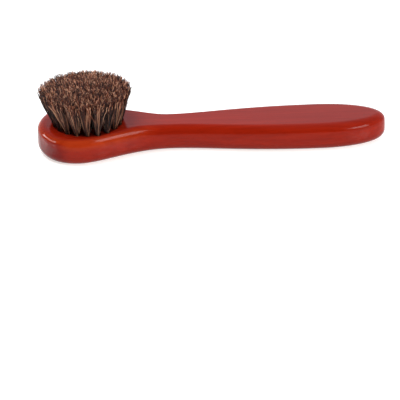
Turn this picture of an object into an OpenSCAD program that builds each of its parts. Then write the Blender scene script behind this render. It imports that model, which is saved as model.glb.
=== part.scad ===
// Shoe shine brush: a one-piece wooden handle with a round head, a slim neck and a paddle grip.
// Horsehair tufts are folded over flat wire anchors, which hold them in blind holes in the head.
// All sizes are in millimetres. The flat back lies on Z = 0 and the bristles point along +Z.
// The origin is under the middle of the bristle field, and +X runs from the head to the grip.

/* [Handle outline] */
// Length from the tip of the head to the end of the grip
brush_l = 175.5; // [170:0.5:185]
// Width of the head
head_w = 44; // [42:0.5:50]
// Width of the neck
neck_w = 18.5; // [15:0.5:22]
// Width of the grip where it is widest
grip_w = 30; // [25:0.5:34]
// From the tip of the head to its widest place
head_at = 21; // [19:0.5:24]
// From the tip of the head to the middle of the neck
neck_at = 66.5; // [62:0.5:72]
// From the tip of the head to the widest place of the grip
grip_at = 141; // [130:0.5:146]

/* [Handle section] */
// Thickness of the head
head_t = 14.5; // [13:0.5:18]
// Thickness of the neck and the grip
grip_t = 13.5; // [11:0.5:16]
// Radius of the edge round the bristle face
face_edge_r = 4; // [1.5:0.5:4.5]
// Radius of the edge round the back
back_edge_r = 4.5; // [1.5:0.5:5]

/* [Bristle field] */
// From the tip of the head to the nearest hole
tip_margin = 7.4; // [6:0.1:8.5]
// From the sides of the head to the nearest hole
side_margin = 3.9; // [3.6:0.1:4.4]
// Radius of the inner ring of holes
inner_ring_r = 2.9; // [2.8:0.1:3.4]
// Least distance from one hole to the next along a ring
hole_pitch = 5.1; // [5:0.05:5.6]
// Diameter of a tuft's hole
hole_d = 3.4; // [3:0.1:3.6]
// Depth of a tuft's hole
hole_depth = 9; // [7:0.5:10]

/* [Bristles] */
// Height of the bristles above the face, in the middle of the field
bristle_h = 19.5; // [15:0.5:26]
// How much shorter the bristles are at the rim than in the middle
crown_drop = 1.5; // [0:0.25:3]
// How far the tips lean out past the holes, along the brush
lean_along = 5.15; // [4:0.05:6.5]
// How far the tips lean out past the holes, across the brush
lean_across = 3.4; // [2.5:0.05:5]
// Strands in each tuft
tuft_strands = 9; // [7:1:9]
// Thickness of a strand at its root
strand_root_d = 0.54; // [0.3:0.02:0.56]
// Thickness of a strand at its tip
strand_tip_d = 0.4; // [0.2:0.02:0.46]

/* [Wire anchors] */
// Width of an anchor, which bites into the wood on both sides of its hole
anchor_w = 4; // [3.8:0.1:4.1]
// Height of an anchor
anchor_h = 1.8; // [1.2:0.1:2.4]
// Thickness of an anchor
anchor_t = 0.45; // [0.3:0.05:0.6]

/* [Hidden] */
ring_names = ["outer", "second", "third", "inner"];

// Clearances between what is seated and its seat
tuft_gap = 0.05;
anchor_gap = 0.04;
hole_end_gap = 0.1;

// The field of holes, and the crown that the bristle tips make above it
field_r = head_w / 2 - side_margin;
outer_ring_r = field_r - hole_d / 2;
ring_pitch = (outer_ring_r - inner_ring_r) / (len(ring_names) - 1);
crown_l = 2 * (field_r + lean_along);
crown_w = 2 * (field_r + lean_across);

// Places along the brush, measured from the origin under the middle of the field
tip_x = -tip_margin - field_r;
head_x = tip_x + head_at;
neck_x = tip_x + neck_at;
grip_x = tip_x + grip_at;
end_x = tip_x + brush_l;

// How full each curve of the outline is, as the share of its span that each control arm takes
tip_arms = [0.48, 0.68];
head_arms = [0.265, 0.42];
waist_arms = [0.25, 0.525];
end_arms = [0.63, 0.5];

// Facets: steps along each curve of the outline, and steps round each edge
outline_steps = 18;
edge_steps = 5;

// The bristle face stays flat round the field, and then falls to the grip's thickness at the neck
flat_margin = 4;
fall_from = field_r + flat_margin;

// A tuft's root fills its hole, and its strands rise from inside the root
root_r = hole_d / 2 - tuft_gap;
root_base_z = head_t - hole_depth + hole_end_gap;
strand_sink = 0.4;
rim_margin = 0.25;
root_fan = root_r - strand_root_d / 2 - rim_margin;
golden_angle = 137.508;
strand_sides = 3;

// A strand leans outward low down, and rises more steeply above its middle
middle_height = 0.5;
middle_lean = 0.58;

// Each ring is turned against the one outside it, by this share of the angle between two tufts
ring_turn = 0.5;

// The anchor sits above the fold at the bottom of the root
fold_h = 1.2;
anchor_base_z = root_base_z + fold_h;
anchor_chamfer = 0.4;

// The rings of tufts, counted from the outer one inwards
rings = [0:len(ring_names) - 1];
function ring_r(ring) = outer_ring_r - ring * ring_pitch;
function ring_tufts(ring) = floor(2 * PI * ring_r(ring) / hole_pitch);
function tufts(ring) = [0:ring_tufts(ring) - 1];

function tuft_name(ring, i) = str("tuft_", ring_names[ring], "_", i < 9 ? "0" : "", i + 1);
function anchors_name(ring) = str("anchors_", ring_names[ring]);

// Smooth step from 0 at a to 1 at b
function ease(a, b, x) = let (t = min(1, max(0, (x - a) / (b - a)))) t * t * (3 - 2 * t);

// A cubic curve through its first and last point, and its direction
function curve(p, t) = pow(1 - t, 3) * p[0] + 3 * pow(1 - t, 2) * t * p[1]
    + 3 * (1 - t) * t * t * p[2] + pow(t, 3) * p[3];
function curve_way(p, t) = pow(1 - t, 2) * (p[1] - p[0]) + 2 * (1 - t) * t * (p[2] - p[1])
    + t * t * (p[3] - p[2]);

// One side of the outline: round the head, in to the neck, out to the grip and round its end
outline_curves = [
    [[tip_x, 0], [tip_x, tip_arms[0] * head_w / 2],
        [head_x - tip_arms[1] * head_at, head_w / 2], [head_x, head_w / 2]],
    [[head_x, head_w / 2], [head_x + head_arms[0] * (neck_x - head_x), head_w / 2],
        [neck_x - head_arms[1] * (neck_x - head_x), neck_w / 2], [neck_x, neck_w / 2]],
    [[neck_x, neck_w / 2], [neck_x + waist_arms[0] * (grip_x - neck_x), neck_w / 2],
        [grip_x - waist_arms[1] * (grip_x - neck_x), grip_w / 2], [grip_x, grip_w / 2]],
    [[grip_x, grip_w / 2], [grip_x + end_arms[0] * (end_x - grip_x), grip_w / 2],
        [end_x, end_arms[1] * grip_w / 2], [end_x, 0]]
];
last_curve = len(outline_curves) - 1;
// Each entry is a point of the outline and the direction that faces out from it
function facing_out(way) = [-way[1], way[0]] / norm(way);
side = [
    for (c = [0:last_curve], k = [0:outline_steps - (c < last_curve ? 1 : 0)])
        let (p = outline_curves[c], t = k / outline_steps)
        [curve(p, t), facing_out(curve_way(p, t))]
];
side_n = len(side);
function mirrored(entry) = [[entry[0][0], -entry[0][1]], [entry[1][0], -entry[1][1]]];
outline = concat(side, [for (i = [side_n - 2:-1:1]) mirrored(side[i])]);
outline_n = len(outline);

// Height of the bristle face above the back
function face_z(x) = grip_t + (head_t - grip_t) * (1 - ease(fall_from, neck_x, x));

// The edge's section, from the back up to the face.
// Each entry holds how far in it lies, its height, and 1 if that height is counted from the face.
edge_section = concat(
    [for (k = [0:edge_steps]) let (a = 90 * k / edge_steps)
        [back_edge_r * (1 - sin(a)), back_edge_r * (1 - cos(a)), 0]],
    [for (k = [0:edge_steps]) let (a = 90 * k / edge_steps)
        [face_edge_r * (1 - cos(a)), -face_edge_r * (1 - sin(a)), 1]]
);
levels = len(edge_section);

// A body with the brush's outline and both edges rounded
module rounded_board() {
    points = [
        for (level = edge_section, entry = outline)
            let (p = entry[0] - level[0] * entry[1])
            [p[0], p[1], level[1] + level[2] * face_z(p[0])]
    ];
    walls = [
        for (level = [0:levels - 2], i = [0:outline_n - 1])
            let (j = (i + 1) % outline_n, low = level * outline_n, high = low + outline_n)
            each [[low + i, high + j, high + i], [low + i, low + j, high + j]]
    ];
    // Both faces are strips across the brush, because the face's height changes only along it
    top = (levels - 1) * outline_n;
    strips = [
        for (i = [1:side_n - 3])
            let (j = i + 1, back_i = outline_n - i, back_j = outline_n - j)
            each [
                [top + i, top + back_j, top + back_i], [top + i, top + j, top + back_j],
                [i, back_i, back_j], [i, back_j, j]
            ]
    ];
    ends = [
        [top, top + 1, top + outline_n - 1],
        [top + side_n - 2, top + side_n - 1, top + side_n],
        [0, outline_n - 1, 1],
        [side_n - 2, side_n, side_n - 1]
    ];
    polyhedron(points, concat(walls, strips, ends));
}

// Where each tuft stands
function tuft_angle(ring, i) = 360 * (i + ring_turn * ring) / ring_tufts(ring);
function tuft_place(ring, i) = ring_r(ring) * [cos(tuft_angle(ring, i)), sin(tuft_angle(ring, i))];

module at_tuft(ring, i) {
    translate(concat(tuft_place(ring, i), 0))
        children();
}

// A flat wire anchor, standing in its hole along the brush, with its lower corners cut off
module anchor(gap = 0) {
    half_w = anchor_w / 2 + gap;
    bottom = anchor_base_z - gap;
    top = anchor_base_z + anchor_h + gap;
    rotate([90, 0, 0])
        linear_extrude(anchor_t + 2 * gap, center = true)
            polygon([
                [-half_w + anchor_chamfer, bottom], [half_w - anchor_chamfer, bottom],
                [half_w, bottom + anchor_chamfer], [half_w, top],
                [-half_w, top], [-half_w, bottom + anchor_chamfer]
            ]);
}

module handle() {
    color([0.6, 0.12, 0.06])
        difference() {
            rounded_board();
            for (ring = rings, i = tufts(ring))
                at_tuft(ring, i) {
                    translate([0, 0, head_t - hole_depth])
                        cylinder(h = hole_depth + 1, d = hole_d, $fn = 32);
                    anchor(anchor_gap);
                }
        }
}

// The folded root of a tuft, which is round where it bends under the anchor
module tuft_root() {
    difference() {
        translate([0, 0, root_base_z])
            intersection() {
                cylinder(h = head_t - root_base_z, r = root_r, $fn = 32);
                union() {
                    translate([-root_r, 0, root_r])
                        rotate([0, 90, 0])
                            cylinder(h = 2 * root_r, r = root_r, $fn = 32);
                    translate([-root_r, -root_r, root_r])
                        cube([2 * root_r, 2 * root_r, hole_depth]);
                }
            }
        anchor(anchor_gap);
    }
}

// Even spread of a tuft's strands over a disc, as in a sunflower's head
function spread(k, r, turn) = let (a = k * golden_angle + turn)
    r * sqrt((k + 0.5) / tuft_strands) * [cos(a), sin(a)];

// The tips keep the order of the roots, so that no strand crosses another.
// Neighbouring tufts touch at their tips: pitch * (crown_w / 2 - tip_fan) / outer_ring_r = 2 * tip_fan.
tip_fan = ring_pitch * crown_w / 2 / (2 * outer_ring_r + ring_pitch);
tip_scale = [crown_l / 2 - tip_fan, crown_w / 2 - tip_fan] / outer_ring_r;
function tip_place(ring, i, k) = let (p = tuft_place(ring, i))
    [p[0] * tip_scale[0], p[1] * tip_scale[1]] + spread(k, tip_fan, tuft_angle(ring, i));
function tip_z(p) = head_t + bristle_h
    - crown_drop * (pow(2 * p[0] / crown_l, 2) + pow(2 * p[1] / crown_w, 2));

// A strand through a list of places, with its width at each of them
module strand(places, widths, turn) {
    points = [
        for (n = [0:len(places) - 1], s = [0:strand_sides - 1])
            let (a = 360 * s / strand_sides + turn)
            places[n] + widths[n] / 2 * [cos(a), sin(a), 0]
    ];
    walls = [
        for (n = [0:len(places) - 2], s = [0:strand_sides - 1])
            let (low = n * strand_sides, high = low + strand_sides, t = (s + 1) % strand_sides)
            each [[low + s, high + s, high + t], [low + s, high + t, low + t]]
    ];
    last = len(points) - strand_sides;
    polyhedron(points, concat(walls, [[0, 1, 2], [last + 2, last + 1, last]]));
}

module tuft(ring, i) {
    turn = tuft_angle(ring, i);
    foot_z = head_t - strand_sink;
    widths = [strand_root_d, (strand_root_d + strand_tip_d) / 2, strand_tip_d];
    color([0.36, 0.24, 0.19]) {
        at_tuft(ring, i)
            tuft_root();
        for (k = [0:tuft_strands - 1]) {
            root = tuft_place(ring, i) + spread(k, root_fan, turn);
            tip = tip_place(ring, i, k);
            middle_z = foot_z + middle_height * (tip_z(tip) - foot_z);
            places = [
                concat(root, foot_z),
                concat(root + middle_lean * (tip - root), middle_z),
                concat(tip, tip_z(tip))
            ];
            strand(places, widths, k * golden_angle);
        }
    }
}

module anchors(ring) {
    color("silver")
        for (i = tufts(ring))
            at_tuft(ring, i)
                anchor();
}

handle();
for (ring = rings, i = tufts(ring))
    tuft(ring, i);
for (ring = rings)
    anchors(ring);
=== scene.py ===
import math

import bpy
import numpy as np
from mathutils import Matrix, Vector


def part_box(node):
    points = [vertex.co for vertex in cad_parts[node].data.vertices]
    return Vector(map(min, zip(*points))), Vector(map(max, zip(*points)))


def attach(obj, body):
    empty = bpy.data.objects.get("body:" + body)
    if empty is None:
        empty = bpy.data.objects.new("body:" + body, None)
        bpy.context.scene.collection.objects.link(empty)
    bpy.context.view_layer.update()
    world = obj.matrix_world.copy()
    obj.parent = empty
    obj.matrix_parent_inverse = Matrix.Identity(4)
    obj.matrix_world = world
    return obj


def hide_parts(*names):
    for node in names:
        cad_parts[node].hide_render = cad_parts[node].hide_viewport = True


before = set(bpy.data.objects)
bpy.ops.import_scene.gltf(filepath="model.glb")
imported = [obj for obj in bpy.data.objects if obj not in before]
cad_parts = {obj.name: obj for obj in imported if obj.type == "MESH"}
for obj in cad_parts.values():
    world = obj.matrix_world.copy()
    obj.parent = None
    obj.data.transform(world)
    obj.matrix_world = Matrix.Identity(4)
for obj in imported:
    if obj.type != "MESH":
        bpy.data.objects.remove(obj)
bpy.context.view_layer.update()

# Sizes below are in millimetres, and meshes are made in metres
MM = 0.001

# The handle's ends, width and thickness come from the frame
handle_low, handle_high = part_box("handle")
TIP_X = handle_low.x / MM
END_X = handle_high.x / MM
HEAD_W = (handle_high.y - handle_low.y) / MM
HEAD_T = handle_high.z / MM

# The rest of the handle's outline and section
NECK_W = 18.5
GRIP_W = 30.0
GRIP_T = 13.5
HEAD_X = TIP_X + 21.0
NECK_X = TIP_X + 66.5
GRIP_X = TIP_X + 141.0
# The arms of the outline's curves at their starts and ends, as shares of a half width or a length
TIP_ARMS = (0.48, 0.68)
HEAD_ARMS = (0.265, 0.42)
WAIST_ARMS = (0.25, 0.525)
END_ARMS = (0.63, 0.5)
# Quarters of ellipses round the head's face and the back: how far in, and how far along the side
HEAD_EDGE = (3.8, 6.5)
BACK_EDGE = (4.4, 4.7)
# Towards both ends: the side, a fine chamfer and a soft shoulder, each as a bend of three places.
# A place is how far in from the outline it lies, and how far above the face.
END_EDGE = (
    ((0, -8.7), (0, -4.6), (0.38, -2.75)),
    ((0.38, -2.75), (0.58, -2.37), (0.78, -2.0)),
    ((0.78, -2.0), (2.4, 0), (4.8, 0)),
)
# Where along the brush that edge starts to replace the head's, and where it has
GRIP_CRISP = (45.0, 115.0)
TIP_CRISP = (-8.0, -21.0)

# The rings of holes, from the outer one inwards. RING_TURN is in steps from hole to hole.
RING_NAMES = ("outer", "second", "third", "inner")
OUTER_RING_R = 16.4
RING_PITCH = 4.5
HOLE_PITCH = 5.1
HOLE_R = 1.7
HOLE_DEPTH = 9.0
RING_TURN = 0.5
# How far the head's level face reaches past the holes
FLAT_PAST_HOLES = 4.0

# The crown that the tips of the bristles make: how high its middle stands above the face, how much
# lower its edge is, its length and its width
BRISTLE_H = 19.5
CROWN_DROP = 1.5
CROWN_L = 46.5
CROWN_W = 43.0


def ease(a, b, x):
    """Smooth step from 0 at a to 1 at b."""
    t = np.clip((x - a) / (b - a), 0, 1)
    return t * t * (3 - 2 * t)


def face_z(x):
    """Height of the bristle face above the back."""
    fall_from = OUTER_RING_R + HOLE_R + FLAT_PAST_HOLES
    return GRIP_T + (HEAD_T - GRIP_T) * (1 - ease(fall_from, NECK_X, x))


def crown_z(x, y):
    """Height of the trimmed tips above the back."""
    return HEAD_T + BRISTLE_H - CROWN_DROP * ((2 * x / CROWN_L) ** 2 + (2 * y / CROWN_W) ** 2)


def new_object(name, mesh):
    obj = bpy.data.objects.new(name, mesh)
    bpy.context.scene.collection.objects.link(obj)
    return obj


def mesh_from(name, points_mm, faces):
    mesh = bpy.data.meshes.new(name)
    mesh.from_pydata((np.asarray(points_mm) * MM).tolist(), [], faces)
    mesh.update()
    return mesh


def way_to(azimuth, elevation):
    """The direction from the brush to a place. Azimuth 0 is in front of it and 90 is on the right."""
    a, e = math.radians(azimuth), math.radians(elevation)
    return Vector((math.sin(a) * math.cos(e), -math.cos(a) * math.cos(e), math.sin(e)))


# Camera

CAMERA_AIM = Vector((53.2, -60.0, 0)) * MM
CAMERA_AZIMUTH = -2.3
CAMERA_ELEVATION = 29.3
CAMERA_ROLL = -1.05
CAMERA_DISTANCE = 840.5 * MM
CAMERA_LENS = 158.76
CAMERA_SENSOR = 36
CAMERA_CLIP = (0.01, 20)


def make_camera():
    data = bpy.data.cameras.new("camera")
    data.lens = CAMERA_LENS
    data.sensor_width = CAMERA_SENSOR
    data.clip_start, data.clip_end = CAMERA_CLIP
    camera = new_object("camera", data)
    back = way_to(CAMERA_AZIMUTH, CAMERA_ELEVATION)
    turn = (-back).to_track_quat("-Z", "Y").to_matrix().to_4x4()
    roll = Matrix.Rotation(math.radians(CAMERA_ROLL), 4, "Z")
    camera.matrix_world = Matrix.Translation(CAMERA_AIM + back * CAMERA_DISTANCE) @ turn @ roll
    bpy.context.scene.camera = camera


# Materials

def new_material(name):
    material = bpy.data.materials.new(name)
    material.use_nodes = True
    tree = material.node_tree
    return material, tree, tree.nodes["Principled BSDF"]


def add_node(tree, kind, **values):
    """A node with values set on its inputs, or on its own settings where no input has that name."""
    node = tree.nodes.new(kind)
    for key, value in values.items():
        name = key.replace("_", " ").title()
        if name in node.inputs:
            node.inputs[name].default_value = value
        else:
            setattr(node, key, value)
    return node


def colour_ramp(tree, source, stops):
    """Colours at places from 0 to 1, read by a value."""
    ramp = tree.nodes.new("ShaderNodeValToRGB")
    elements = ramp.color_ramp.elements
    while len(elements) < len(stops):
        elements.new(0.5)
    for element, (place, colour) in zip(elements, stops):
        element.position = place
        element.color = (*colour, 1)
    tree.links.new(source, ramp.inputs["Fac"])
    return ramp.outputs["Color"]


NOISE_ROUGHNESS = 0.6

# Wood under clear lacquer. Grain runs along the brush, and its sizes are counts per metre.
WOOD_TONES = (
    (0.3, (0.205, 0.0078, 0.0015)),
    (0.5, (0.235, 0.0097, 0.002)),
    (0.72, (0.27, 0.0127, 0.003)),
)
GRAIN_COUNTS = (22, 620, 420)
GRAIN_DETAIL = 5
PORE_COUNTS = (160, 3400, 3400)
PORE_DETAIL = 2
PORE_TONES = ((0.3, (0.82, 0.82, 0.82)), (0.42, (1, 1, 1)))
PORE_BUMP = 0.12
PORE_DEPTH = 0.04
WOOD_ROUGHNESS = 0.5
LACQUER_ROUGHNESS = 0.1
LACQUER_IOR = 1.22
# Painted shade: the wood is darker towards the back, where less light reaches near the floor
BACK_PAINTED_SHADE = (0.7, 0.7, 0.7)
BACK_PAINTED_SHADE_H = 6.5
# The head's upper rim is paler and more orange, partly from wear of the lacquer and partly as a
# painted warm sheen and light, and painted shade darkens the wood round its tip. A band is the height
# above the head's face where it starts, and the one where it is full. RIM_WEAR_AND_SHEEN_X and
# TIP_PAINTED_SHADE_X are the same along the brush.
RIM_WEAR_AND_SHEEN = (1.35, 2.6, 2.2)
RIM_WEAR_AND_SHEEN_BANDS = ((-0.1, -1.6), (-7.0, -3.4))
RIM_WEAR_AND_SHEEN_X = (38.0, 14.0)
# Painted shade on the wood round the head's tip, whose side gets little light
TIP_PAINTED_SHADE = (0.68, 0.3, 0.4)
TIP_PAINTED_SHADE_BAND = (-2.3, -3.2)
TIP_PAINTED_SHADE_X = (-9.0, -17.0)
# Painted shade darkens the wood between the tufts and in the holes, where the hairs shade it.
# FIELD_SHADE_FROM_H is the height above the back where that starts.
FIELD_PAINTED_SHADE = (0.3, 0.42, 0.5)
FIELD_SHADE_R = 17.9
FIELD_SHADE_BLUR = 0.5
FIELD_SHADE_FROM_H = 5.0


def stretched_noise(tree, place, counts, detail):
    """Noise from 0 to 1, so many times a metre along X, Y and Z."""
    mapping = add_node(tree, "ShaderNodeMapping", scale=counts)
    noise = add_node(tree, "ShaderNodeTexNoise", scale=1.0, detail=detail, roughness=NOISE_ROUGHNESS)
    tree.links.new(place, mapping.inputs["Vector"])
    tree.links.new(mapping.outputs["Vector"], noise.inputs["Vector"])
    return noise.outputs["Fac"]


def multiplied(tree, colour, tone):
    """The colour times the tone."""
    mix = add_node(tree, "ShaderNodeMix", data_type="RGBA", blend_type="MULTIPLY")
    mix.inputs["Factor"].default_value = 1.0
    tree.links.new(colour, mix.inputs["A"])
    tree.links.new(tone, mix.inputs["B"])
    return mix.outputs["Result"]


def tinted(tree, colour, share, tone):
    """The colour, and the colour times the tone where the share is 1."""
    mix = add_node(tree, "ShaderNodeMix", data_type="RGBA", blend_type="MULTIPLY")
    mix.inputs["B"].default_value = (*tone, 1)
    tree.links.new(share, mix.inputs["Factor"])
    tree.links.new(colour, mix.inputs["A"])
    return mix.outputs["Result"]


def shares_product(tree, *shares):
    """The product of all shares, which is 1 where each of them is 1."""
    product = shares[0]
    for share in shares[1:]:
        both = add_node(tree, "ShaderNodeMath", operation="MULTIPLY")
        tree.links.new(product, both.inputs[0])
        tree.links.new(share, both.inputs[1])
        product = both.outputs["Value"]
    return product


def ease_share(tree, value, start, full):
    """0 where the value is at the start or before it, and 1 where it is full or past it."""
    share = add_node(tree, "ShaderNodeMapRange", interpolation_type="SMOOTHSTEP")
    share.inputs["From Min"].default_value = start * MM
    share.inputs["From Max"].default_value = full * MM
    tree.links.new(value, share.inputs["Value"])
    return share.outputs["Result"]


def field_shade_mask(tree, place):
    """1 on the face within the field of tufts and in its holes, where shade is painted, and 0
    elsewhere.
    """
    parts = tree.nodes.new("ShaderNodeSeparateXYZ")
    flat = tree.nodes.new("ShaderNodeCombineXYZ")
    tree.links.new(place, parts.inputs["Vector"])
    tree.links.new(parts.outputs["X"], flat.inputs["X"])
    tree.links.new(parts.outputs["Y"], flat.inputs["Y"])
    length = add_node(tree, "ShaderNodeVectorMath", operation="LENGTH")
    tree.links.new(flat.outputs["Vector"], length.inputs[0])
    inside = ease_share(tree, length.outputs["Value"], FIELD_SHADE_R + FIELD_SHADE_BLUR, FIELD_SHADE_R - FIELD_SHADE_BLUR)
    high = add_node(tree, "ShaderNodeMath", operation="GREATER_THAN")
    high.inputs[1].default_value = FIELD_SHADE_FROM_H * MM
    tree.links.new(parts.outputs["Z"], high.inputs[0])
    return shares_product(tree, inside, high.outputs["Value"])


def wood_wear_and_painted_light(tree, place, wood):
    """The wood's colour, with painted shade towards the back, round the head's tip and between the
    tufts, and with wear and a painted sheen on the head's rim.
    """
    parts = tree.nodes.new("ShaderNodeSeparateXYZ")
    tree.links.new(place, parts.inputs["Vector"])
    x, height = parts.outputs["X"], parts.outputs["Z"]
    # Painted shade towards the back
    low = ease_share(tree, height, BACK_PAINTED_SHADE_H, 0)
    # Wear and a painted warm sheen and light on the head's upper rim
    rim = [ease_share(tree, height, HEAD_T + start, HEAD_T + full) for start, full in RIM_WEAR_AND_SHEEN_BANDS]
    rim = shares_product(tree, *rim, ease_share(tree, x, *RIM_WEAR_AND_SHEEN_X))
    # Painted shade round the head's tip
    tip = ease_share(tree, height, *(HEAD_T + h for h in TIP_PAINTED_SHADE_BAND))
    tip = shares_product(tree, tip, ease_share(tree, x, *TIP_PAINTED_SHADE_X))
    # Painted shade between the tufts
    field = field_shade_mask(tree, place)
    tones = ((low, BACK_PAINTED_SHADE), (rim, RIM_WEAR_AND_SHEEN), (tip, TIP_PAINTED_SHADE), (field, FIELD_PAINTED_SHADE))
    for share, tone in tones:
        wood = tinted(tree, wood, share, tone)
    return wood


def lacquered_wood():
    material, tree, shader = new_material("lacquered_wood")
    place = tree.nodes.new("ShaderNodeTexCoord").outputs["Object"]
    grain = stretched_noise(tree, place, GRAIN_COUNTS, GRAIN_DETAIL)
    pores = stretched_noise(tree, place, PORE_COUNTS, PORE_DETAIL)
    wood = colour_ramp(tree, grain, WOOD_TONES)
    wood = multiplied(tree, wood, colour_ramp(tree, pores, PORE_TONES))
    tree.links.new(wood_wear_and_painted_light(tree, place, wood), shader.inputs["Base Color"])
    bump = add_node(tree, "ShaderNodeBump", strength=PORE_BUMP, distance=PORE_DEPTH * MM)
    tree.links.new(pores, bump.inputs["Height"])
    tree.links.new(bump.outputs["Normal"], shader.inputs["Normal"])
    shader.inputs["Roughness"].default_value = WOOD_ROUGHNESS
    # The wood itself has no shine, only the lacquer over it
    shader.inputs["Specular IOR Level"].default_value = 0.0
    shader.inputs["Coat Weight"].default_value = 1.0
    shader.inputs["Coat Roughness"].default_value = LACQUER_ROUGHNESS
    shader.inputs["Coat IOR"].default_value = LACQUER_IOR
    return material


# Horsehair, from the darkest hair to the palest
HAIR_TONES = (
    (0.0, (0.01, 0.002, 0.001)),
    (0.42, (0.03, 0.006, 0.0025)),
    (0.66, (0.112, 0.024, 0.01)),
    (0.83, (0.35, 0.11, 0.052)),
    (1.0, (0.84, 0.43, 0.26)),
)
# Painted shade along each hair, darkest at its root deep in the tuft and full colour at its tip
HAIR_ROOT_PAINTED_SHADE = ((0.3, (0.3, 0.3, 0.3)), (0.75, (0.7, 0.7, 0.7)), (0.97, (1, 1, 1)))
HAIR_ROUGHNESS = 0.42
HAIR_SHINE = 0.3

# Drawn steel wire
WIRE_COUNTS = (300, 300, 9000)
WIRE_DETAIL = 2
WIRE_TONES = ((0.3, (0.42, 0.41, 0.39)), (0.7, (0.62, 0.61, 0.58)))
WIRE_ROUGHNESS = 0.35


def hair():
    material, tree, shader = new_material("horsehair")
    tone = add_node(tree, "ShaderNodeAttribute", attribute_name="tone")
    along = add_node(tree, "ShaderNodeAttribute", attribute_name="along")
    colour = colour_ramp(tree, tone.outputs["Fac"], HAIR_TONES)
    shade = colour_ramp(tree, along.outputs["Fac"], HAIR_ROOT_PAINTED_SHADE)
    tree.links.new(multiplied(tree, colour, shade), shader.inputs["Base Color"])
    shader.inputs["Roughness"].default_value = HAIR_ROUGHNESS
    shader.inputs["Specular IOR Level"].default_value = HAIR_SHINE
    return material


def steel_wire():
    material, tree, shader = new_material("steel_wire")
    place = tree.nodes.new("ShaderNodeTexCoord").outputs["Object"]
    drawn = stretched_noise(tree, place, WIRE_COUNTS, WIRE_DETAIL)
    tree.links.new(colour_ramp(tree, drawn, WIRE_TONES), shader.inputs["Base Color"])
    shader.inputs["Metallic"].default_value = 1.0
    shader.inputs["Roughness"].default_value = WIRE_ROUGHNESS
    return material


# Handle

# OUTLINE_STEPS is for each of the outline's curves, and BEND_STEPS for each bend of an edge
OUTLINE_STEPS = 48
BEND_STEPS = 4
# A narrow ring on both faces, next to the edge, keeps its shading off the flat
FLAT_MARGIN = 0.3
HOLE_SIDES = 32
CUTTER_RISE = 1.0
SHARP_ANGLE = 40


def cubic(p, t):
    """A point on a cubic curve, and the direction to its left."""
    p = np.array(p, float)
    s = 1 - t
    point = s**3 * p[0] + 3 * s * s * t * p[1] + 3 * s * t * t * p[2] + t**3 * p[3]
    way = s * s * (p[1] - p[0]) + 2 * s * t * (p[2] - p[1]) + t * t * (p[3] - p[2])
    out = np.array((-way[1], way[0]))
    return point, out / np.linalg.norm(out)


def outline():
    """Points round the handle's outline, the +Y side first, and the directions facing out."""
    head, neck, grip = HEAD_W / 2, NECK_W / 2, GRIP_W / 2
    neck_run = NECK_X - HEAD_X
    waist_run = GRIP_X - NECK_X
    curves = (
        ((TIP_X, 0), (TIP_X, TIP_ARMS[0] * head),
         (HEAD_X - TIP_ARMS[1] * (HEAD_X - TIP_X), head), (HEAD_X, head)),
        ((HEAD_X, head), (HEAD_X + HEAD_ARMS[0] * neck_run, head),
         (NECK_X - HEAD_ARMS[1] * neck_run, neck), (NECK_X, neck)),
        ((NECK_X, neck), (NECK_X + WAIST_ARMS[0] * waist_run, neck),
         (GRIP_X - WAIST_ARMS[1] * waist_run, grip), (GRIP_X, grip)),
        ((GRIP_X, grip), (GRIP_X + END_ARMS[0] * (END_X - GRIP_X), grip),
         (END_X, END_ARMS[1] * grip), (END_X, 0)),
    )
    side = [cubic(p, k / OUTLINE_STEPS) for p in curves for k in range(OUTLINE_STEPS)]
    side.append(cubic(curves[-1], 1.0))
    flip = np.array((1, -1))
    back = [(point * flip, out * flip) for point, out in reversed(side[1:-1])]
    points, outs = zip(*(side + back))
    return np.array(points), np.array(outs)


def quarter(across, along):
    """A quarter of an ellipse, from the side to the flat, with as many places as bends(END_EDGE)."""
    turn = np.linspace(0, math.pi / 2, len(END_EDGE) * BEND_STEPS + 1)
    return np.column_stack((across * (1 - np.cos(turn)), -along * (1 - np.sin(turn))))


def bends(section):
    """Places along curves that each run from one place to another and bend towards a third."""
    t = np.linspace(0, 1, BEND_STEPS + 1)[:-1, None]
    runs = [(1 - t) ** 2 * p + 2 * t * (1 - t) * q + t * t * r for p, q, r in np.array(section, float)]
    return np.concatenate(runs + [[section[-1][-1]]])


def handle_rings(points, outs):
    """The handle's outline at each level, from inside the back's edge to inside the face's edge."""
    x = points[:, 0]
    crisp = np.maximum(ease(*GRIP_CRISP, x), ease(*TIP_CRISP, x))[:, None]
    back = quarter(*BACK_EDGE)[::-1] * (1, -1)
    rings = [(np.full_like(x, back[0, 0] + FLAT_MARGIN), 0 * x)]
    rings += [(np.full_like(x, inset), rise + 0 * x) for inset, rise in back]
    for soft, hard in zip(quarter(*HEAD_EDGE), bends(END_EDGE)):
        inset, drop = ((1 - crisp) * soft + crisp * hard).T
        rings.append((inset, face_z((points - inset[:, None] * outs)[:, 0]) + drop))
    last = rings[-1][0] + FLAT_MARGIN
    rings.append((last, face_z((points - last[:, None] * outs)[:, 0])))
    return [np.column_stack((points - inset[:, None] * outs, height)) for inset, height in rings]


def handle_mesh():
    points, outs = outline()
    n = len(points)
    half = n // 2
    levels = handle_rings(points, outs)
    faces = []
    for level in range(len(levels) - 1):
        low, high = level * n, (level + 1) * n
        faces += [(low + i, high + i, high + (i + 1) % n, low + (i + 1) % n) for i in range(n)]
    # Strips across both faces, because their height changes only along the brush
    top = (len(levels) - 1) * n
    for i in range(1, half - 1):
        faces.append((top + i, top + n - i, top + n - i - 1, top + i + 1))
        faces.append((i, i + 1, n - i - 1, n - i))
    faces += [(top, top + n - 1, top + 1), (top + half - 1, top + half + 1, top + half)]
    faces += [(0, 1, n - 1), (half - 1, half, half + 1)]
    return mesh_from("handle_body", np.concatenate(levels), faces)


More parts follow.
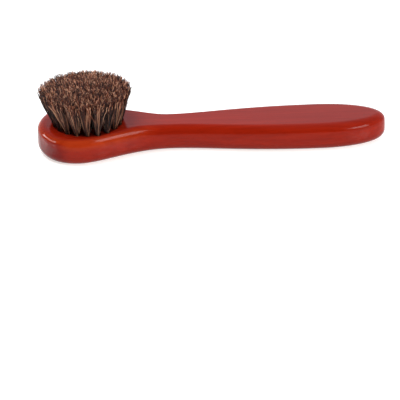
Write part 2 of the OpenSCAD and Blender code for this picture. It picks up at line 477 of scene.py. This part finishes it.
def tuft_places():
    """Each tuft's node, its hole's middle and its turn."""
    for ring, ring_name in enumerate(RING_NAMES):
        radius = OUTER_RING_R - ring * RING_PITCH
        count = int(2 * math.pi * radius / HOLE_PITCH)
        for i in range(count):
            angle = 2 * math.pi * (i + RING_TURN * ring) / count
            middle = radius * np.array((math.cos(angle), math.sin(angle)))
            yield f"tuft_{ring_name}_{i + 1:02d}", middle, angle


def hole_cutter():
    """Rods in the place of the holes, a little taller than the head."""
    turn = np.arange(HOLE_SIDES) * 2 * math.pi / HOLE_SIDES
    circle = HOLE_R * np.column_stack((np.cos(turn), np.sin(turn)))
    verts = []
    faces = []
    for _name, middle, _angle in tuft_places():
        base = len(verts) * HOLE_SIDES
        for z in (HEAD_T - HOLE_DEPTH, HEAD_T + CUTTER_RISE):
            verts.append(np.column_stack((circle + middle, np.full(HOLE_SIDES, z))))
        low = [base + k for k in range(HOLE_SIDES)]
        high = [base + HOLE_SIDES + k for k in range(HOLE_SIDES)]
        faces += [(low[k - 1], low[k], high[k], high[k - 1]) for k in range(1, HOLE_SIDES)]
        faces.append((low[-1], low[0], high[0], high[-1]))
        faces.append(tuple(reversed(low)))
        faces.append(tuple(high))
    return new_object("hole_cutter", mesh_from("hole_cutter", np.concatenate(verts), faces))


def make_handle(material):
    """The handle with its holes, in place of the one from CAD."""
    handle = new_object("handle_wood", handle_mesh())
    cutter = hole_cutter()
    drill = handle.modifiers.new("holes", "BOOLEAN")
    drill.operation = "DIFFERENCE"
    drill.solver = "EXACT"
    drill.object = cutter
    depsgraph = bpy.context.evaluated_depsgraph_get()
    drilled = bpy.data.meshes.new_from_object(handle.evaluated_get(depsgraph))
    handle.modifiers.clear()
    handle.data = drilled
    bpy.data.objects.remove(cutter)
    drilled.materials.clear()
    drilled.materials.append(material)
    drilled.shade_smooth()
    drilled.set_sharp_from_angle(angle=math.radians(SHARP_ANGLE))
    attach(handle, "root")
    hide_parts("handle")


# Bristles. Each hair is folded under its tuft's wire anchor, and one strand stands for one leg of it.

HAIRS = 170
LOCKS = 85
HAIR_SIDES = 3
HAIR_D = 0.28
TIP_TAPER = 0.7
SEED = 17
# From above a tuft is a disc of radius 1. Its locks lie on it like the seeds of a sunflower, and each
# is moved a little, as is each hair within its lock.
SEED_ANGLE = 137.508
LOCK_SHIFT = 0.07
LOCK_SPREAD = 0.07
# The anchor's lower side stands above the floor of the hole. FOLD_DROPS is how far the innermost and
# the outermost hairs hang below it, and FOLD_GAP keeps the two legs of a fold apart.
ANCHOR_RISE = 1.3
ANCHOR_BASE = HEAD_T - HOLE_DEPTH + ANCHOR_RISE
ANCHOR_HALF_T = 0.36
FOLD_DROPS = (0.15, 1.0)
FOLD_GAP = 0.06
# The bundle of hairs round the anchor. Hairs lie along the anchor as far as the bundle is round, with
# LEAST_ROOM as the least square of that length, and ROOM_FILL packs them towards its ends.
BUNDLE_R = 1.42
LEAST_ROOM = 0.01
ROOM_FILL = 1.1
# The bundle on its way up: a place halfway, by its height above the anchor's lower side, and the mouth
STEM_RISE = 4.4
MOUTH_R = 1.02
# From the mouth to the crown: shares of the way up, and how the hairs spread out over them. A tip may
# pass the crown's oval by the share that CROWN_OVER allows.
FLARE_STEPS = (0.0, 0.14, 0.32, 0.52, 0.7, 0.82, 0.91, 1.0)
FLARE_POWER = 1.1
TIP_SPREAD = 1.38
TIP_JITTER = 0.2
LOCK_JITTER = 0.75
CROWN_OVER = 1.03
LESS_LEAN = 1.5
# Uneven length: a little for each hair, and more for a share of the locks
TRIM_JITTER = 0.6
SHORT_SHARE = 0.3
SHORT_MOST = 2.0
# Single hairs that lean away from their lock
STRAY_SHARE = 0.05
STRAY_LEAN = 2.4
# Each hair bows, by BOW times its own sway, wavers on its way up and frizzes near its tip
WAVE = 0.16
BOW = 3
FRIZZ = 0.3
FRIZZ_POWER = 6
# A hair's tone is drawn from a beta distribution. Its lock and a stray lean change it, and so does
# each place along the hair.
TONE_BETA = (1.2, 1.5)
LOCK_TONE = 0.24
STRAY_TONE = 0.4
TONE_CHANGE = 0.08
# Each hair has a strip of the UV map, and the caps at its ends have slivers of that strip
UV_STRIP = (0.1, 0.9)
UV_CAP = 0.01


def in_disc(spots):
    """The spots, with those outside a circle of radius 1 pulled back to it."""
    far = np.maximum(np.linalg.norm(spots, axis=1), 1)
    return spots * (1 / far)[:, None]


def lock_spots(turn):
    """Places of the locks on the disc."""
    k = np.arange(LOCKS)
    way = k * math.radians(SEED_ANGLE) + turn
    return np.sqrt((k + 0.5) / LOCKS)[:, None] * np.column_stack((np.cos(way), np.sin(way)))


def fold_places(middle, spot):
    """Places in the hole: three round the fold under the anchor, and one halfway to the mouth."""
    side = np.where(spot[:, 1] < 0, -1, 1)
    outer = np.abs(spot[:, 1])
    across = ANCHOR_HALF_T + (BUNDLE_R - ANCHOR_HALF_T) * outer
    room = np.sqrt(np.maximum(BUNDLE_R ** 2 - across ** 2, LEAST_ROOM))
    run = room * np.clip(spot[:, 0] * ROOM_FILL, -1, 1)
    drop = FOLD_DROPS[0] + (FOLD_DROPS[1] - FOLD_DROPS[0]) * outer
    places = []
    for bend in (0, math.pi / 4, math.pi / 2):
        places.append(np.column_stack((
            middle[0] + run,
            middle[1] + side * across * math.sin(bend),
            ANCHOR_BASE - drop * math.cos(bend),
        )))
    places[0][:, 1] += side * FOLD_GAP
    stem = middle + (np.column_stack((run, side * across)) + MOUTH_R * spot) / 2
    places.append(np.column_stack((stem, np.full(HAIRS, ANCHOR_BASE + STEM_RISE))))
    return places


def hair_tips(middle, spot, lock, rng):
    """The tips of the hairs on the crown, and which hairs are stray."""
    # A tuft fans out by this much on the crown, so that the tufts' fans touch
    fan = RING_PITCH * CROWN_W / 2 / (2 * OUTER_RING_R + RING_PITCH)
    scale = np.array((CROWN_L / 2 - fan, CROWN_W / 2 - fan)) / OUTER_RING_R
    stray = rng.random(HAIRS) < STRAY_SHARE
    jitter = rng.normal(0, TIP_JITTER, (HAIRS, 2))
    jitter = jitter + rng.normal(0, STRAY_LEAN, (HAIRS, 2)) * stray[:, None]
    jitter = jitter + rng.normal(0, LOCK_JITTER, (LOCKS, 2))[lock]
    tip = middle * scale + TIP_SPREAD * fan * spot + jitter
    edge = np.linalg.norm(2 * tip / (CROWN_L, CROWN_W), axis=1)
    tip = tip / np.maximum(edge / CROWN_OVER, 1)[:, None]
    # Towards the grip the tips lean out a little less
    tip[:, 0] -= LESS_LEAN * (tip[:, 0] / CROWN_L + 0.5)
    short = ((rng.random(LOCKS) < SHORT_SHARE) * rng.uniform(0, SHORT_MOST, LOCKS))[lock]
    tip_z = crown_z(tip[:, 0], tip[:, 1]) - short - rng.uniform(0, TRIM_JITTER, HAIRS)
    return tip, tip_z, stray


def hair_paths(middle, turn, rng):
    """The places along each hair of one tuft, its share of the way at each, and each hair's tone."""
    lock_spot = lock_spots(turn) + rng.normal(0, LOCK_SHIFT, (LOCKS, 2))
    lock_tone = rng.normal(0, LOCK_TONE, LOCKS)
    lock = np.arange(HAIRS) % LOCKS
    spot = in_disc(lock_spot[lock] + rng.normal(0, LOCK_SPREAD, (HAIRS, 2)))
    places = fold_places(middle, spot)
    mouth = middle + MOUTH_R * spot
    tip, tip_z, stray = hair_tips(middle, spot, lock, rng)
    sway = rng.normal(0, WAVE, (HAIRS, 2))
    for step in FLARE_STEPS:
        spread = mouth + step ** FLARE_POWER * (tip - mouth)
        spread = spread + sway * math.sin(math.pi * step) * BOW
        roughness = WAVE * step + FRIZZ * step ** FRIZZ_POWER
        spread = spread + rng.normal(0, 1, (HAIRS, 2)) * roughness
        places.append(np.column_stack((spread, HEAD_T + step * (tip_z - HEAD_T))))
    paths = np.stack(places, axis=1)
    steps = np.linalg.norm(np.diff(paths, axis=1), axis=2)
    along = np.concatenate((np.zeros((HAIRS, 1)), np.cumsum(steps, axis=1)), axis=1)
    along = along / along[:, -1:]
    tone = rng.beta(*TONE_BETA, HAIRS) + lock_tone[lock] + STRAY_TONE * stray
    return paths, along, np.clip(tone, 0, 1)


def hair_points(paths, middle, rng):
    """The corners of each hair round its places. The hair is thinner at its tip."""
    rings = paths.shape[1]
    radius = HAIR_D / 2 * np.where(np.arange(rings) == rings - 1, TIP_TAPER, 1.0)
    sides = np.arange(HAIR_SIDES) * 2 * math.pi / HAIR_SIDES
    way = rng.uniform(0, 2 * math.pi, HAIRS)[:, None] + sides
    ring = np.stack((np.cos(way), np.sin(way), np.zeros_like(way)), axis=-1)
    points = paths[:, :, None] + radius[None, :, None, None] * ring[:, None]
    # The lowest ring stands upright, because the hair runs level there
    level = np.stack((np.cos(way), np.zeros_like(way), np.sin(way)), axis=-1)
    side = np.where(paths[:, 2, 1] < middle[1], 1, -1)
    level[:, :, 2] *= side[:, None]
    points[:, 0] = paths[:, 0, None] + radius[0] * level
    return points.reshape(-1, 3)


def hair_faces(along):
    """The sides and the two three-cornered caps of each hair, and the UVs of their corners."""
    rings = along.shape[1]
    faces = []
    uvs = []
    for h in range(HAIRS):
        u0, u1 = ((h + edge) / HAIRS for edge in UV_STRIP)
        first = h * rings * HAIR_SIDES
        for r in range(rings - 1):
            low = first + r * HAIR_SIDES
            high = low + HAIR_SIDES
            v0, v1 = along[h, r], along[h, r + 1]
            for s in range(HAIR_SIDES):
                t = (s + 1) % HAIR_SIDES
                faces.append((low + s, low + t, high + t, high + s))
                uvs += ((u0, v0), (u1, v0), (u1, v1), (u0, v1))
        last = first + (rings - 1) * HAIR_SIDES
        faces.append(tuple(first + s for s in reversed(range(HAIR_SIDES))))
        faces.append(tuple(last + s for s in range(HAIR_SIDES)))
        uvs += ((u0, 0), (u1, 0), (u1, UV_CAP), (u0, 1), (u1, 1), (u1, 1 - UV_CAP))
    return faces, uvs


def tuft_mesh(name, middle, turn, rng):
    paths, along, tone = hair_paths(middle, turn, rng)
    points = hair_points(paths, middle, rng)
    faces, uvs = hair_faces(along)
    mesh = mesh_from(name, points, faces)
    mesh.uv_layers.new(name="OFBake").uv.foreach_set("vector", np.array(uvs).ravel())
    tones = np.clip(tone[:, None] + rng.normal(0, TONE_CHANGE, along.shape), 0, 1)
    for key, values in (("tone", tones), ("along", along)):
        attribute = mesh.attributes.new(key, "FLOAT", "POINT")
        attribute.data.foreach_set("value", np.repeat(values.ravel(), HAIR_SIDES))
    return mesh


def make_tufts(material):
    """Hairs in place of the strands of each tuft from CAD."""
    rng = np.random.default_rng(SEED)
    for node, middle, turn in tuft_places():
        mesh = tuft_mesh(node + "_hair", middle, turn, rng)
        mesh.materials.append(material)
        mesh.shade_smooth()
        tuft = new_object(node + "_hair", mesh)
        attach(tuft, "root")
        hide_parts(node)


def dress_anchors(material):
    """The anchors keep their shape from CAD."""
    for name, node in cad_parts.items():
        if name.startswith("anchors"):
            node.data.materials.clear()
            node.data.materials.append(material)


# Stage: a pale floor that glows a little, two softboxes, three fill lights and a room that is dark
# in front. Its sizes are in metres.

FLOOR_HALF = 3.0
FLOOR_COLOUR = (0.75, 0.75, 0.75)
FLOOR_ROUGHNESS = 0.2
FLOOR_GLOW = 0.6
FLOOR_GLOW_COLOUR = (1, 0.98, 0.95)
# Each light by its azimuth, elevation and distance from LIGHT_AT, its width and height, and its
# radiance
LIGHT_AT = Vector((50, 0, 8)) * MM
SOFTBOX_RIGHT = (47, 28, 1.0, 0.4, 0.36, 9)
SOFTBOX_LEFT = (-92, 20, 1.0, 1.0, 0.2, 18)
FILL_TOP = (0, 80, 1.0, 0.6, 0.6, 0.3)
FILL_LEFT = (-100, 60, 0.3, 0.25, 0.25, 4.4)
FILL_RIGHT = (40, 25, 1.0, 0.4, 0.5, 6)
# What the camera sees past the floor, and the room's light from its dark side to the side across
BACKDROP = (1.0, 1.0, 1.0)
DARK_AZIMUTH = -30
ROOM = (
    (0.0, (0.1, 0.1, 0.1)),
    (0.25, (0.08, 0.08, 0.08)),
    (0.4, (0.33, 0.33, 0.33)),
    (0.55, (0.45, 0.45, 0.46)),
    (0.8, (0.75, 0.76, 0.82)),
    (0.9, (1.0, 1.03, 1.14)),
    (1.0, (1.3, 1.32, 1.42)),
)


def make_floor():
    corners = np.array(((-1, -1, 0), (1, -1, 0), (1, 1, 0), (-1, 1, 0))) * FLOOR_HALF / MM
    mesh = mesh_from("floor", corners, [(0, 1, 2, 3)])
    floor = new_object("floor", mesh)
    material, tree, shader = new_material("floor")
    shader.inputs["Base Color"].default_value = (*FLOOR_COLOUR, 1)
    shader.inputs["Roughness"].default_value = FLOOR_ROUGHNESS
    shader.inputs["Emission Color"].default_value = (*FLOOR_GLOW_COLOUR, 1)
    shader.inputs["Emission Strength"].default_value = FLOOR_GLOW
    mesh.materials.append(material)


def softbox(name, azimuth, elevation, distance, width, height, radiance):
    """A rectangle of light that faces the brush and that the camera doesn't see."""
    data = bpy.data.lights.new(name, "AREA")
    data.shape = "RECTANGLE"
    data.size = width
    data.size_y = height
    data.energy = radiance * math.pi * width * height
    light = new_object(name, data)
    way = way_to(azimuth, elevation)
    light.location = LIGHT_AT + way * distance
    light.rotation_mode = "QUATERNION"
    light.rotation_quaternion = way.to_track_quat("Z", "Y")
    light.visible_camera = False
    return light


def make_room():
    """Light from all round, by how far a direction is from the dark side, and a pale backdrop."""
    world = bpy.data.worlds.new("studio")
    world.use_nodes = True
    tree = world.node_tree
    background = tree.nodes["Background"]
    way = tree.nodes.new("ShaderNodeTexCoord").outputs["Generated"]
    away = add_node(tree, "ShaderNodeVectorMath", operation="DOT_PRODUCT")
    away.inputs[1].default_value = -way_to(DARK_AZIMUTH, 0)
    tree.links.new(way, away.inputs[0])
    share = add_node(tree, "ShaderNodeMapRange")
    share.inputs["From Min"].default_value = -1
    tree.links.new(away.outputs["Value"], share.inputs["Value"])
    room = colour_ramp(tree, share.outputs["Result"], ROOM)
    seen = tree.nodes.new("ShaderNodeLightPath").outputs["Is Camera Ray"]
    mix = add_node(tree, "ShaderNodeMix", data_type="RGBA")
    mix.inputs["B"].default_value = (*BACKDROP, 1)
    tree.links.new(seen, mix.inputs["Factor"])
    tree.links.new(room, mix.inputs["A"])
    tree.links.new(mix.outputs["Result"], background.inputs["Color"])
    bpy.context.scene.world = world


def make_light():
    softbox("softbox_right", *SOFTBOX_RIGHT)
    # This one only makes highlights, such as the one round the tip of the head
    softbox("softbox_left", *SOFTBOX_LEFT).visible_diffuse = False
    # These light the brush without highlights of their own
    softbox("fill_top", *FILL_TOP).visible_glossy = False
    softbox("fill_left", *FILL_LEFT).visible_glossy = False
    softbox("fill_right", *FILL_RIGHT).visible_glossy = False
    bpy.context.scene.view_settings.view_transform = "Standard"


make_camera()
make_handle(lacquered_wood())
make_tufts(hair())
dress_anchors(steel_wire())
make_floor()
make_room()
make_light()
